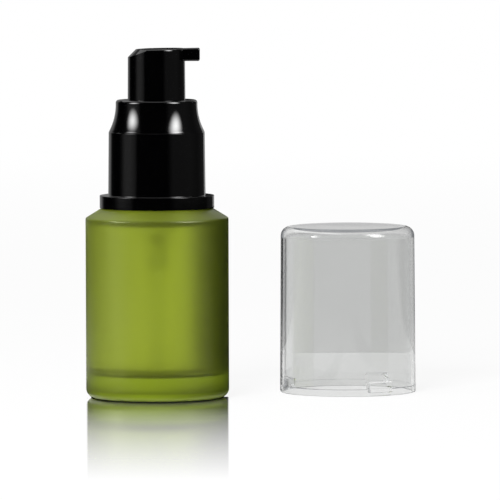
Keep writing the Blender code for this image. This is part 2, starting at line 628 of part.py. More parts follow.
def make_actuator(black, unit):
    """Button: hollow skirt, socket for the stem, scooped back edge and a short nozzle with its channel."""
    top = BUTTON_TOP_Z
    ceiling = top - BUTTON_TOP_WALL
    crown = BUTTON_RADIUS - BUTTON_DRAFT
    edge = BUTTON_EDGE_RADIUS
    socket_bore = STEM_RADIUS + SLIDE_GAP
    socket_outside = socket_bore + SOCKET_WALL
    channel_z = top - NOZZLE_HEIGHT / 2
    profile = [(0, top)]
    profile += arc((crown - edge, top - edge), edge, 90, 0)
    profile += [
        (BUTTON_RADIUS, BUTTON_FOOT_Z),
        (BUTTON_RADIUS - BUTTON_WALL, BUTTON_FOOT_Z),
        (crown - BUTTON_WALL, ceiling),
        (socket_outside, ceiling),
        (socket_outside, SOCKET_FOOT_Z),
        (socket_bore, SOCKET_FOOT_Z),
        (socket_bore, SOCKET_TOP_Z),
        (RISER_RADIUS, SOCKET_TOP_Z),
        (RISER_RADIUS, channel_z + OUTLET_RADIUS / 2),
        (0, channel_z + OUTLET_RADIUS / 2),
    ]
    button = finish(raked(turned(profile, OUTER_SEGMENTS), ceiling), "actuator", black, unit)

    back_top = top - (NOZZLE_REACH + crown - SCOOP_DEPTH) * TOP_RAKE
    scoop_radius = crown - SCOOP_DEPTH + SCOOP_OFFSET
    scoop_drop = back_top - BUTTON_FOOT_Z + CUT_OVERRUN
    scoop_rise = NOZZLE_HEIGHT
    cone_profile = [
        (0, back_top + scoop_rise),
        (scoop_radius - scoop_rise, back_top + scoop_rise),
        (scoop_radius + scoop_drop, back_top - scoop_drop),
        (0, back_top - scoop_drop),
    ]
    cone = turned(cone_profile, OUTER_SEGMENTS)
    bmesh.ops.translate(cone, verts=cone.verts, vec=(SCOOP_OFFSET, 0, 0))
    shape_with(button, cone, "back_scoop", "INTERSECT")

    half = NOZZLE_WIDTH / 2
    bar = block((RISER_RADIUS * 2, -half, top - NOZZLE_HEIGHT), (NOZZLE_REACH, half, top - NOZZLE_SUNK))
    outer_edges = [edge for edge in bar.edges if max(end.co.x for end in edge.verts) > NOZZLE_REACH / 2]
    bmesh.ops.bevel(bar, geom=outer_edges, offset=NOZZLE_EDGE_RADIUS, segments=2, profile=0.5,
                    affect="EDGES")
    shape_with(button, raked(bar, channel_z), "nozzle_bar", "UNION")

    channel = bmesh.new()
    channel_length = NOZZLE_REACH + CUT_OVERRUN
    place = Matrix.Translation((channel_length / 2, 0, channel_z)) @ Matrix.Rotation(math.pi / 2, 4, "Y")
    bmesh.ops.create_cone(channel, cap_ends=True, segments=16, radius1=OUTLET_RADIUS, radius2=OUTLET_RADIUS,
                          depth=channel_length, matrix=place)
    shape_with(button, channel, "flow_channel", "DIFFERENCE")
    return button


def crowned(flat_radius, height):
    """Outline of a slightly domed face from its centre out to where its rounded corner starts."""
    crown_radius = (flat_radius ** 2 + CAP_CROWN ** 2) / (2 * CAP_CROWN)
    crown_angle = math.degrees(math.asin(flat_radius / crown_radius))
    return [(0, height)] + arc((0, height - crown_radius), crown_radius, 90, 90 - crown_angle)[1:]


def make_overcap(clear):
    """Clear drafted cap, mouth down, with stepped lugs inside that seat on the collar's flange."""
    corner = CAP_CORNER_RADIUS
    inner_corner = corner - CAP_TOP_WALL / 2
    ceiling = CAP_HEIGHT - CAP_TOP_WALL
    outer_flat = CAP_TOP_RADIUS - corner
    inner_flat = CAP_TOP_RADIUS - CAP_WALL - inner_corner
    recess = CAP_BORE_RADIUS + CAP_RECESS_STEP
    profile = crowned(outer_flat, CAP_HEIGHT)
    profile += arc((outer_flat, CAP_HEIGHT - CAP_CROWN - corner), corner, 90, 0, 5)[1:]
    profile += [
        (CAP_MOUTH_RADIUS, CAP_MOUTH_EDGE),
        (CAP_MOUTH_RADIUS - CAP_MOUTH_EDGE, 0),
        (recess, 0),
        (recess, CAP_RECESS_DEPTH),
        (CAP_BORE_RADIUS, CAP_RECESS_DEPTH + CAP_RECESS_STEP),
    ]
    profile += arc((inner_flat, ceiling - CAP_CROWN - inner_corner), inner_corner, 0, 90, 4)
    profile += crowned(inner_flat, ceiling)[-2::-1]
    cap = finish(turned(profile, OUTER_SEGMENTS), "overcap", clear)
    cap.location = (CAP_X, CAP_SET_BACK, 0)
    root = CAP_BORE_RADIUS + CAP_WALL / 2
    lug_top = LUG_SEAT_HEIGHT + LUG_THICKNESS
    lug_profile = [
        (root, lug_top + LUG_THICKNESS / 2),
        (LUG_SEAT_RADIUS, lug_top),
        (LUG_SEAT_RADIUS, LUG_SEAT_HEIGHT),
        (LUG_GRIP_RADIUS, LUG_SEAT_HEIGHT),
        (LUG_GRIP_RADIUS, LUG_SEAT_HEIGHT - LUG_LEG_HEIGHT),
        (root, LUG_SEAT_HEIGHT - LUG_LEG_HEIGHT),
    ]
    for index in range(LUG_COUNT):
        middle = LUG_FIRST_ANGLE + math.tau * index / LUG_COUNT
        lug = turned(lug_profile, 4, middle - LUG_ANGLE / 2, LUG_ANGLE)
        tool = shape_with(cap, lug, f"lug_{index + 1}", "UNION")
        tool.location = cap.location
    return cap


def main():
    clear_scene()
    glass = finish_of("frosted_olive_glass", (0.30, 0.36, 0.06), 0.55, transmission=0.6)
    clear = finish_of("clear_plastic", (0.85, 0.86, 0.85), 0.05, transmission=0.95)
    black = finish_of("gloss_black_plastic", (0.006, 0.006, 0.007), 0.12)
    white = finish_of("white_plastic", (0.80, 0.80, 0.78), 0.40)
    natural = finish_of("natural_plastic", (0.78, 0.79, 0.76), 0.35, transmission=0.3)
    acetal = finish_of("white_acetal", (0.85, 0.85, 0.83), 0.30)
    soft = finish_of("soft_white_plastic", (0.74, 0.76, 0.78), 0.45)
    foam = finish_of("white_foam", (0.86, 0.86, 0.84), 0.80)
    steel = finish_of("stainless_steel", (0.56, 0.56, 0.55), 0.25, metallic=1.0)

    bottle = make_bottle(glass)
    pump_unit = bpy.data.objects.new("pump_unit", None)
    pump_unit.parent = bottle
    stroke_unit = bpy.data.objects.new("stroke_unit", None)
    stroke_unit.parent = pump_unit
    for empty in (pump_unit, stroke_unit):
        bpy.context.scene.collection.objects.link(empty)

    make_gasket(foam, pump_unit)
    make_closure(white, pump_unit)
    make_collar(black, pump_unit)
    make_housing(natural, pump_unit)
    make_lock_ring(natural, pump_unit)
    make_dip_tube(natural, pump_unit)
    make_ball(steel, pump_unit)
    make_spring(steel, pump_unit)
    make_piston(soft, pump_unit)
    make_stem(natural, stroke_unit)
    make_stem_plug(acetal, stroke_unit)
    make_actuator(black, stroke_unit)
    make_overcap(clear)


main()
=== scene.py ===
"""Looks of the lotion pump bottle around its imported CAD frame. Metres, +Z up, the nozzle points along +X."""

import math

import bmesh
import bpy
from mathutils import Matrix, Vector


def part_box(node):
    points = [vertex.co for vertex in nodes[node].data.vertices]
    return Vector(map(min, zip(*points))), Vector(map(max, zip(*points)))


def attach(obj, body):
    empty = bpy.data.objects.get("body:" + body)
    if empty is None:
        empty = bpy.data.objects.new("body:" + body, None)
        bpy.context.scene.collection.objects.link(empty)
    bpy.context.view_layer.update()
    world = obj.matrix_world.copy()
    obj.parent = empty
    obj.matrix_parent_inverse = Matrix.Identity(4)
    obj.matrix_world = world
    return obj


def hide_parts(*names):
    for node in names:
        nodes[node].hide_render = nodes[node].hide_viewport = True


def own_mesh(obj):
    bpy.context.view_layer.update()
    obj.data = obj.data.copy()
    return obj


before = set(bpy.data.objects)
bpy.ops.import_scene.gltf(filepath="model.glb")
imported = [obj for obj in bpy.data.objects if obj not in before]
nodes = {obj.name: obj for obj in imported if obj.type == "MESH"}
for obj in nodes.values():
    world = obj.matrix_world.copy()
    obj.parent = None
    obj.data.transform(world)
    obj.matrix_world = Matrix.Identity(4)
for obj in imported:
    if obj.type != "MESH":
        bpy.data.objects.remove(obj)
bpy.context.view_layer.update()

# The photograph's camera: a long lens a little above the object, tilted slightly down
FOCAL_PIXELS = 6500.0
FRAME_PIXELS = 500.0
SENSOR_MM = 36.0
CAMERA_X = 0.02272
CAMERA_DISTANCE = 1.587
CAMERA_HEIGHT = 0.138
CAMERA_PITCH = 3.677
CAMERA_ROLL = -0.18

# Segments round a turned piece, and round the overcap
FINE, CAP_FINE = 144, 192

# Sizes of the CAD solids that the finer pieces stand for
BODY_R, BODY_H, GLASS_WALL, FLOOR_Z, HEEL_R = 0.0175, 0.0440, 0.0022, 0.0057, 0.0022
SHOULDER_ANGLE = 31.5
SLOPE = math.tan(math.radians(SHOULDER_ANGLE))
NECK_R, NECK_BORE, NECK_TOP = 0.0088, 0.00625, 0.058831
COLLAR_R, COLLAR_TOP, COLLAR_DECK, HOLE_R = 0.0119, 0.072881, 0.06243, 0.00728
FLANGE_R, FLANGE_TOP = 0.0140, 0.049545
FLARE_H, FLARE_W = 0.0068, 0.00175
BUTTON_R, BUTTON_TOP, BUTTON_FOOT, NOZZLE_X = 0.00708, 0.085561, 0.06853, 0.0106
SOCKET_FOOT, SOCKET_TOP = 0.06973, 0.07573
RAKE = math.tan(math.radians(1.3))
SCOOP, SCOOP_SHIFT = 0.0019, 0.0034
CAP_R, CAP_H, CAP_X, CAP_Y = 0.01675, 0.041216, 0.0468, 0.0150
CAP_CORNER, CAP_CROWN = 0.0024, 0.0003
THREAD_PITCH = 0.003175

# How rough the etched outside and the smooth inside of the glass are, and the share of light that the outside
# lets through
ETCHED_ROUGH, SMOOTH_ROUGH, ETCHED_CLEAR = 0.35, 0.22, 0.85

# The middle of the glass wall by height, along the shoulder. The etched outside is what lies farther out than
# that, and all that lies under the etched foot.
WALL_HEIGHTS, WALL_MIDDLES, ETCHED_FOOT = (0.0420, 0.0500), (0.0164, 0.0072), 0.003

# Light that the cap's thick top plate traps by total reflection would end black at the tracer's bounce limit.
# A plain grey glow, painted light, stands in for it at this bounce.
TRAPPED_BOUNCE, TRAPPED_GREY = 6.0, (0.32, 0.33, 0.345, 1.0)

# The floor's mirror patch: where in front of the object it fades out, how wide its side edges are, the IOR of
# its Fresnel share, and the share at which the patch is whole
MIRROR_FADE, MIRROR_EDGE, MIRROR_IOR, MIRROR_WHOLE = (-0.205, -0.030), 0.0004, 1.02, 0.181

# The near-black disc under the bottle, painted as its contact shadow: radius and height
CONTACT_R, CONTACT_Z = BODY_R - 0.55 * HEEL_R, 0.00005

# Cards on the ground: height, inner and outer distance, the distances between which they fade out towards the
# object, and those between which they turn dimmer, with the share of light that is left
CARD_Z, CARD_NEAR, CARD_FAR = 0.0008, 0.04, 1.6
FADE_RANGE, DIM_RANGE, DIM_SHARE = (0.04, 0.32), (0.88, 0.92), 0.25

# Light that the backdrop sends through the overcap
BACK_LIGHT = 0.77

# Flags along the bottle's right side: distance from its axis, and the azimuths of their ends
FLAG_R, FLAG_FIRST, FLAG_LAST = 0.0215, 62.0, 151.5

# Heights on the axis that the soft boxes and the lamps aim at
BOX_AIM, LAMP_AIM = 0.06, 0.04


def cone(radius):
    """Height of the bottle's shoulder at a distance from its axis."""
    return BODY_H + (BODY_R - radius) * SLOPE


class Tree:
    """A node tree with helpers that add nodes. A link is a pair of a node and its output's name or number."""

    def __init__(self, tree):
        self.tree = tree
        tree.nodes.clear()

    def add(self, kind, inputs=None, **settings):
        made = self.tree.nodes.new(kind)
        for name, value in settings.items():
            setattr(made, name, value)
        for name, value in (inputs or {}).items():
            if isinstance(value, tuple) and hasattr(value[0], "outputs"):
                self.tree.links.new(value[0].outputs[value[1]], made.inputs[name])
            else:
                made.inputs[name].default_value = value
        return made

    def coords(self):
        """Object coordinates."""
        return self.add("ShaderNodeTexCoord"), "Object"

    def place(self):
        """Object coordinates as a node with the outputs X, Y and Z."""
        return self.add("ShaderNodeSeparateXYZ", {"Vector": self.coords()})

    def noise(self, coords, scale, detail=3.0, roughness=0.5):
        return self.add("ShaderNodeTexNoise", {
            "Vector": coords, "Scale": scale, "Detail": detail, "Roughness": roughness,
        }), "Fac"

    def maths(self, operation, *values):
        return self.add("ShaderNodeMath", dict(enumerate(values)), operation=operation), "Value"

    def length(self, vector):
        return self.add("ShaderNodeVectorMath", {0: vector}, operation="LENGTH"), "Value"

    def dot(self, first, second):
        return self.add("ShaderNodeVectorMath", {0: first, 1: second}, operation="DOT_PRODUCT"), "Value"

    def product(self, first, second):
        return self.add("ShaderNodeVectorMath", {0: first, 1: second}, operation="MULTIPLY"), "Vector"

    def scaled(self, vector, share):
        return self.add("ShaderNodeVectorMath", {0: vector, "Scale": share}, operation="SCALE"), "Vector"

    def remap(self, value, source=(0.0, 1.0), target=(0.0, 1.0), **settings):
        """Maps a value from one range to another, where it stays at the ends."""
        return self.add("ShaderNodeMapRange", {
            "Value": value,
            "From Min": source[0], "From Max": source[1],
            "To Min": target[0], "To Max": target[1],
        }, **settings), "Result"

    def spread(self, fac, low, high):
        """Maps the middle of a noise to a range."""
        return self.remap(fac, (0.3, 0.7), (low, high))

    def between(self, share, first, second):
        """A mix of two colours. Its sockets go by number, because others share their names."""
        return self.add("ShaderNodeMix", {"Factor": share, 6: first, 7: second}, data_type="RGBA"), 2

    def bump(self, height, strength, distance):
        return self.add("ShaderNodeBump", {
            "Height": height, "Strength": strength, "Distance": distance,
        }), "Normal"

    def principled(self, inputs):
        return self.add("ShaderNodeBsdfPrincipled", inputs), "BSDF"

    def matt(self, tone):
        return self.add("ShaderNodeBsdfDiffuse", {"Color": (tone, tone, tone, 1)}), "BSDF"

    def emission(self, colour=(1, 1, 1, 1), strength=1.0):
        return self.add("ShaderNodeEmission", {"Color": colour, "Strength": strength}), "Emission"

    def layers(self, share, under, over):
        return self.add("ShaderNodeMixShader", {"Fac": share, 1: under, 2: over}), "Shader"

    def output(self, surface, **others):
        self.add("ShaderNodeOutputMaterial", {"Surface": surface, **others})


def new_material(name):
    made = bpy.data.materials.new(name)
    made.use_nodes = True
    return made, Tree(made.node_tree)


def moulded(name, colour, roughness, extra=None, uneven=0.03, peel=0.05, peel_scale=500.0, mottle=0.06):
    """Moulded plastic: a slight tone change, an uneven gloss and the faint waviness of a moulding."""
    material, tree = new_material(name)
    coords = tree.coords()
    broad = tree.noise(coords, 160.0)
    fine = tree.noise(coords, peel_scale, detail=4.0)
    tree.output(tree.principled({
        "Base Color": tree.scaled(colour, tree.spread(broad, 1 - mottle, 1 + mottle)),
        "Roughness": tree.spread(fine, roughness - uneven, roughness + uneven),
        "Normal": tree.bump(fine, strength=peel, distance=0.0002),
        **(extra or {}),
    }))
    return material


def frosted_glass():
    """Olive glass: its outside is etched matt and scatters light, its inside is smooth and clear."""
    material, tree = new_material("frosted_glass")
    coords = tree.coords()
    grain = tree.noise(coords, 5200.0, detail=2.0, roughness=0.6)
    cloud = tree.noise(coords, 90.0)
    place = tree.place()
    flat = tree.add("ShaderNodeCombineXYZ", {"X": (place, "X"), "Y": (place, "Y")})
    wall_middle = tree.remap((place, "Z"), WALL_HEIGHTS, WALL_MIDDLES)
    outside = tree.maths("GREATER_THAN", tree.length((flat, "Vector")), wall_middle)
    under = tree.maths("LESS_THAN", (place, "Z"), ETCHED_FOOT)
    etched = tree.maths("MAXIMUM", outside, under)
    etched_gloss = tree.spread(cloud, ETCHED_ROUGH - 0.03, ETCHED_ROUGH + 0.03)
    olive = tree.between(cloud, (0.355, 0.440, 0.030, 1.0), (0.385, 0.470, 0.036, 1.0))
    depths = tree.add("ShaderNodeVolumeAbsorption", {"Color": (0.72, 0.80, 0.30, 1.0), "Density": 45.0})
    tree.output(tree.principled({
        "Base Color": tree.between(etched, (0.96, 0.97, 0.90, 1.0), olive),
        "Roughness": tree.remap(etched, target=(SMOOTH_ROUGH, etched_gloss)),
        "Normal": tree.bump(grain, strength=tree.maths("MULTIPLY", etched, 0.25), distance=0.00004),
        "IOR": 1.50,
        "Transmission Weight": tree.remap(etched, target=(1.0, ETCHED_CLEAR)),
        "Specular Tint": (0.85, 0.88, 0.60, 1.0),
    }), Volume=(depths, "Volume"))
    return material


def clear_plastic():
    """Clear moulded plastic with a slight grey tint and the faint flow waves of its moulding, and a painted
    grey glow at the tracer's bounce limit.
    """
    material, tree = new_material("clear_plastic")
    coords = tree.coords()
    flow = tree.noise(coords, 60.0, detail=1.0)
    scuffs = tree.noise(coords, 700.0, detail=5.0, roughness=0.7)
    path = tree.add("ShaderNodeLightPath")
    tree.output(tree.principled({
        "Base Color": (0.815, 0.82, 0.815, 1.0),
        "Roughness": tree.remap(scuffs, (0.45, 0.75), (0.008, 0.03)),
        "Normal": tree.bump(flow, strength=0.06, distance=0.0004),
        "IOR": 1.42,
        "Transmission Weight": 1.0,
        # Painted light: the plastic glows a plain grey at the bounce limit, in place of the light its top
        # plate traps
        "Emission Color": TRAPPED_GREY,
        "Emission Strength": tree.maths("COMPARE", (path, "Ray Depth"), TRAPPED_BOUNCE, 0.5),
    }))
    return material


def drawn_steel():
    """Bright drawn wire: fine lines along the piece and an uneven gloss."""
    material, tree = new_material("drawn_steel")
    lines = tree.noise(tree.coords(), 9000.0, detail=2.0)
    tree.output(tree.principled({
        "Base Color": tree.between(lines, (0.50, 0.50, 0.49, 1.0), (0.62, 0.62, 0.61, 1.0)),
        "Roughness": tree.spread(lines, 0.16, 0.30),
        "Normal": tree.bump(lines, strength=0.1, distance=0.00002),
        "Metallic": 1.0,
    }))
    return material


def cell_foam():
    """Closed-cell foam of the sealing ring."""
    material, tree = new_material("cell_foam")
    cells = (tree.add("ShaderNodeTexVoronoi", {"Vector": tree.coords(), "Scale": 6000.0}), "Distance")
    tree.output(tree.principled({
        "Base Color": tree.scaled((0.80, 0.80, 0.77), tree.remap(cells, (0.0, 0.8), (0.92, 1.04))),
        "Roughness": 0.85,
        "Normal": tree.bump(cells, strength=0.4, distance=0.00005),
    }))
    return material


def dress(node, material):
    """Gives a CAD node a material in place of the plain one."""
    piece = nodes[node]
    if not piece.material_slots:
        piece.data.materials.append(material)
    for entry in piece.material_slots:
        entry.material = material


def mesh_object(name, data, material, smooth_angle=40.0):
    bmesh.ops.recalc_face_normals(data, faces=data.faces)
    mesh = bpy.data.meshes.new(name)
    data.to_mesh(mesh)
    data.free()
    smoothed(mesh, smooth_angle)
    if material is not None:
        mesh.materials.append(material)
    made = bpy.data.objects.new(name, mesh)
    bpy.context.scene.collection.objects.link(made)
    return made


def smoothed(mesh, angle=40.0):
    """Shades a mesh smooth up to an angle between its faces."""
    mesh.shade_smooth()
    mesh.set_sharp_from_angle(angle=math.radians(angle))


def swept(sections):
    """A closed bmesh through a row of point loops of the same count, with flat ends."""
    made = bmesh.new()
    rows = [[made.verts.new(point) for point in section] for section in sections]
    count = len(rows[0])
    for before, after in zip(rows, rows[1:]):
        for side in range(count):
            other = (side + 1) % count
            made.faces.new((before[side], before[other], after[other], after[side]))
    made.faces.new(rows[0])
    made.faces.new(list(reversed(rows[-1])))
    return made


def arc(centre, radius, start, stop, steps=6):
    """Points along an arc in the (radius, height) plane, angles in degrees."""
    points = []
    for step in range(steps + 1):
        angle = math.radians(start + (stop - start) * step / steps)
        points.append((centre[0] + radius * math.cos(angle), centre[1] + radius * math.sin(angle)))
    return points


def lathe(profile, segments=FINE, start=0.0, sweep=None):
    """A bmesh turned from a closed (radius, height) outline, whole or as a sector with end faces."""
    made = bmesh.new()
    whole = sweep is None
    rings = segments if whole else segments + 1
    step = (math.tau if whole else sweep) / segments
    loops = []
    for radius, height in profile:
        if radius < 1e-9:
            loops.append([made.verts.new((0, 0, height))] * rings)
            continue
        loops.append([
            made.verts.new((radius * math.cos(start + step * k), radius * math.sin(start + step * k), height))
            for k in range(rings)
        ])
    for index, upper in enumerate(loops):
        lower = loops[(index + 1) % len(loops)]
        for side in range(segments):
            after = (side + 1) % rings
            corners = []
            for corner in (upper[side], lower[side], lower[after], upper[after]):
                if corner not in corners:
                    corners.append(corner)
            if len(corners) > 2:
                made.faces.new(corners)
    if not whole:
        made.faces.new([loop[0] for loop in loops])
        made.faces.new([loop[-1] for loop in loops])
    return made


def boxed(low, high):
    made = bmesh.new()
    bmesh.ops.create_cube(made, size=1)
    for corner in made.verts:
        corner.co = Vector([(h + l) / 2 + c * (h - l) for l, h, c in zip(low, high, corner.co)])
    return made


def settle(target):
    """Applies the modifiers of a piece."""
    graph = bpy.context.evaluated_depsgraph_get()
    graph.update()
    done = bpy.data.meshes.new_from_object(target.evaluated_get(graph), depsgraph=graph)
    target.modifiers.clear()
    target.data = done


def combine(target, tool_data, operation):
    """Applies one exact Boolean with a tool made from a bmesh, and removes the tool."""
    tool = mesh_object("tool", tool_data, None)
    cut = target.modifiers.new("cut", "BOOLEAN")
    cut.operation = operation
    cut.solver = "EXACT"
    cut.object = tool
    settle(target)
    bpy.data.objects.remove(tool, do_unlink=True)


def softened(target, width, segments=2):
    """Rounds the sharp edges of a piece and keeps its flats flat."""
    smoothed(target.data)
    soft = target.modifiers.new("soft", "BEVEL")
    soft.width = width
    soft.segments = segments
    soft.limit_method = "ANGLE"
    soft.angle_limit = math.radians(32.0)
    soft.use_clamp_overlap = True
    even = target.modifiers.new("even", "WEIGHTED_NORMAL")
    even.keep_sharp = True
    settle(target)


def evened(target):
    """Keeps the normals of broad faces straight, so that roundings beside them don't bend their gloss."""
    even = target.modifiers.new("even", "WEIGHTED_NORMAL")
    even.weight = 100
    even.keep_sharp = True
    settle(target)
    return target


def replace(piece, node, body):
    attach(piece, body)
    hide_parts(node)


def glass_bottle(glass):
    """The bottle with rounded heel, shoulder edge, neck root and lip."""
    edge, root, lip, corner = 0.0007, 0.0008, 0.0004, 0.0024
    turn = 90 - SHOULDER_ANGLE
    half_turn_tangent = 0.56
    set_back = half_turn_tangent * edge
    profile = [(0, 0)]
    profile += arc((BODY_R - HEEL_R, HEEL_R), HEEL_R, -90, 0, 12)
    profile += arc((BODY_R - edge, BODY_H - set_back), edge, 0, turn)
    profile += [
        (NECK_R + root, cone(NECK_R + root)),
        (NECK_R + root * 0.35, cone(NECK_R) + root * 0.3),
        (NECK_R, cone(NECK_R) + root),
    ]
    profile += arc((NECK_R - lip, NECK_TOP - lip), lip, 0, 90, 4)
    profile += arc((NECK_BORE + lip, NECK_TOP - lip), lip, 90, 180, 4)

    # The cavity's shoulder starts this share of a wall under the outer one, as the dark line there is thin
    inner = BODY_R - GLASS_WALL
    wall_share = 0.6
    shoulder = BODY_H - wall_share * GLASS_WALL
    bevel, rise = 0.0005, 0.0003
    profile += [
        (NECK_BORE, shoulder + (inner - NECK_BORE) * SLOPE + rise),
        (NECK_BORE + bevel, shoulder + (inner - NECK_BORE - bevel) * SLOPE),
    ]
    profile += arc((inner - edge, shoulder - set_back), edge, turn, 0)
    profile += arc((inner - corner, FLOOR_Z + corner), corner, 0, -90, 10)
    profile += [(0, FLOOR_Z)]
    return evened(mesh_object("glass_bottle", lathe(profile), glass, 50.0))


def collar_shell(black):
    """The glossy shroud with its flare, cylinder and flange."""
    wall, plate, guide_wall, guide_depth = 0.0009, 0.0011, 0.0008, 0.0034
    rim_r, foot_edge, fillet, flange_edge, hole_edge = 0.0007, 0.00012, 0.00015, 0.0001, 0.00012
    lift, chamfer, chamfer_rise = 0.0003, 0.00008, 0.00035
    flare_foot, flare_head = COLLAR_TOP - 0.00785, COLLAR_TOP - 0.00445
    flare_r = (FLARE_H ** 2 + FLARE_W ** 2) / (2 * FLARE_W)
    flare_angle = math.degrees(math.asin(FLARE_H / flare_r))
    flare_top = COLLAR_TOP - 0.00105
    foot_r = COLLAR_R - 0.00017
    top_r = foot_r - FLARE_W
    profile = arc((top_r - rim_r, COLLAR_TOP - rim_r), rim_r, 90, 0, 10)
    profile += arc((top_r + flare_r, flare_top), flare_r, 180, 180 + flare_angle, 24)[:-1]
    profile += arc((foot_r - foot_edge, flare_top - FLARE_H - 0.00010), foot_edge, 60, 0, 3)
    profile += arc((COLLAR_R + fillet, FLANGE_TOP + fillet), fillet, 180, 270, 3)
    profile += arc((FLANGE_R - flange_edge, FLANGE_TOP - flange_edge), flange_edge, 90, 0, 4)
    rim = FLANGE_R - wall
    bore = COLLAR_R - wall
    guide = HOLE_R + guide_wall
    profile += [
        (FLANGE_R, cone(FLANGE_R) + chamfer_rise),
        (FLANGE_R - chamfer, cone(FLANGE_R - chamfer) + lift),
        (rim, cone(rim) + lift),
        (rim, FLANGE_TOP - wall),
        (bore, FLANGE_TOP - wall),
        (bore, COLLAR_DECK),
        (bore - wall, COLLAR_DECK),
        (bore - wall, flare_foot),
        (top_r - wall, flare_head),
        (top_r - wall, COLLAR_TOP - plate),
        (guide, COLLAR_TOP - plate),
        (guide, COLLAR_TOP - guide_depth),
        (HOLE_R, COLLAR_TOP - guide_depth),
    ]
    profile += arc((HOLE_R + hole_edge, COLLAR_TOP - hole_edge), hole_edge, 180, 90, 3)
    return evened(mesh_object("collar_shell", lathe(profile), black, 50.0))


def raked(data, above):
    """Tilts what is above a height, so that the button's top rises towards the nozzle."""
    for corner in data.verts:
        if corner.co.z > above:
            corner.co.z += (corner.co.x - NOZZLE_X) * RAKE
    return data


def pump_button(black):
    """The button: hollow skirt, stem socket, scooped back edge and nozzle with its outlet, edges softened."""
    wall, edge, socket_out, socket_in, riser = 0.0010, 0.0005, 0.0033, 0.0023, 0.0010
    nozzle_start, nozzle_half, nozzle_depth, outlet = 0.0020, 0.0025, 0.00318, 0.0007
    ceiling = BUTTON_TOP - 0.0014
    way = BUTTON_TOP - 0.00159
    riser_top = way + 0.00035
    crown = BUTTON_R - 0.00012
    profile = [(0, BUTTON_TOP)]
    profile += arc((crown - edge, BUTTON_TOP - edge), edge, 90, 0, 8)
    profile += [
        (BUTTON_R, BUTTON_FOOT), (BUTTON_R - wall, BUTTON_FOOT),
        (crown - wall, ceiling), (socket_out, ceiling),
        (socket_out, SOCKET_FOOT), (socket_in, SOCKET_FOOT),
        (socket_in, SOCKET_TOP), (riser, SOCKET_TOP),
        (riser, riser_top), (0, riser_top),
    ]
    button = mesh_object("pump_button", raked(lathe(profile), ceiling), black)

    # The scooped back edge: what lies inside a cone about a shifted axis is kept
    back_top = BUTTON_TOP - (NOZZLE_X + crown - SCOOP) * RAKE
    scoop_r = crown - SCOOP + SCOOP_SHIFT
    rise = 0.00318
    drop = back_top - BUTTON_FOOT + 0.001
    scoop = lathe([
        (0, back_top + rise), (scoop_r - rise, back_top + rise),
        (scoop_r + drop, back_top - drop), (0, back_top - drop),
    ])
    bmesh.ops.translate(scoop, verts=scoop.verts, vec=(SCOOP_SHIFT, 0, 0))
    combine(button, scoop, "INTERSECT")

    bar = boxed(
        (nozzle_start, -nozzle_half, BUTTON_TOP - nozzle_depth),
        (NOZZLE_X, nozzle_half, BUTTON_TOP - 0.00006),
    )
    outer = [side for side in bar.edges if max(end.co.x for end in side.verts) > NOZZLE_X / 2]
    bmesh.ops.bevel(bar, geom=outer, offset=0.0004, segments=5, profile=0.5, affect="EDGES")
    combine(button, raked(bar, way), "UNION")

    channel = bmesh.new()
    reach = NOZZLE_X + 0.001
    turn = Matrix.Translation((reach / 2, 0, way)) @ Matrix.Rotation(math.pi / 2, 4, "Y")
    bmesh.ops.create_cone(channel, cap_ends=True, segments=32, radius1=outlet, radius2=outlet, depth=reach,
                          matrix=turn)
    combine(button, channel, "DIFFERENCE")
    softened(button, 0.0002, 3)
    return button


def crowned(flat, height):
    """Outline of the cap's slightly domed top from its centre out to a radius."""
    crown_r = (flat ** 2 + CAP_CROWN ** 2) / (2 * CAP_CROWN)
    angle = math.degrees(math.asin(flat / crown_r))
    return [(0, height)] + arc((0, height - crown_r), crown_r, 90, 90 - angle, 12)[1:]


def clear_cap(clear):
    """The overcap with the recess in its mouth and three stepped lugs."""
    wall, taper, plate, foot_edge = 0.0009, 0.00025, 0.0011, 0.0002
    top_r, bore_r, ceiling = CAP_R - taper, CAP_R - wall, CAP_H - plate
    corner = CAP_CORNER - 0.00055
    profile = crowned(top_r - CAP_CORNER, CAP_H)
    profile += arc((top_r - CAP_CORNER, CAP_H - CAP_CROWN - CAP_CORNER), CAP_CORNER, 90, 0, 18)[1:]
    profile += arc((CAP_R - foot_edge, foot_edge), foot_edge, 0, -90, 4)
    profile += arc((bore_r + 0.00025, 0.0001), 0.0001, -90, -180, 2)
    profile += [(bore_r + 0.00015, 0.0016), (bore_r, 0.00175)]
    profile += arc((top_r - wall - corner, ceiling - CAP_CROWN - corner), corner, 0, 90, 14)
    profile += crowned(top_r - wall - corner, ceiling)[-2::-1]
    cap = mesh_object("clear_cap", lathe(profile, CAP_FINE), clear, 50.0)

    # The upper part of each lug rests on the flange's top, and the lower part fits round its edge
    root, seat, grip = bore_r + 0.00045, FLANGE_R - 0.0007, FLANGE_R + 0.0002
    lug = [(root, 0.00365), (seat, 0.0030), (seat, 0.0017), (grip, 0.0017), (grip, 0.0008), (root, 0.0008)]
    half = math.radians(11)
    for middle in (60, 180, 300):
        combine(cap, lathe(lug, 16, math.radians(middle) - half, 2 * half), "UNION")
    softened(cap, 0.00006)
    cap.location = (CAP_X, CAP_Y, 0)
    return cap


def thread(name, root, crest, start_z, turns, root_half, crest_half, material):
    """A right-hand thread ridge that runs out at both ends, with its half widths at root and crest."""
    per_turn, run_out, least = 48, 0.6, 0.03
    steps = int(per_turn * turns)
    whole = math.tau * turns
    sections = []
    for step in range(steps + 1):
        angle = whole * step / steps
        run = min(1.0, angle / run_out, (whole - angle) / run_out)
        top = root + (crest - root) * max(run, least)
        height = start_z + THREAD_PITCH * angle / math.tau
        outline = ((root, -root_half), (top, -crest_half), (top, crest_half), (root, root_half))
        sections.append([(r * math.cos(angle), r * math.sin(angle), height + z) for r, z in outline])
    return mesh_object(name, swept(sections), material)


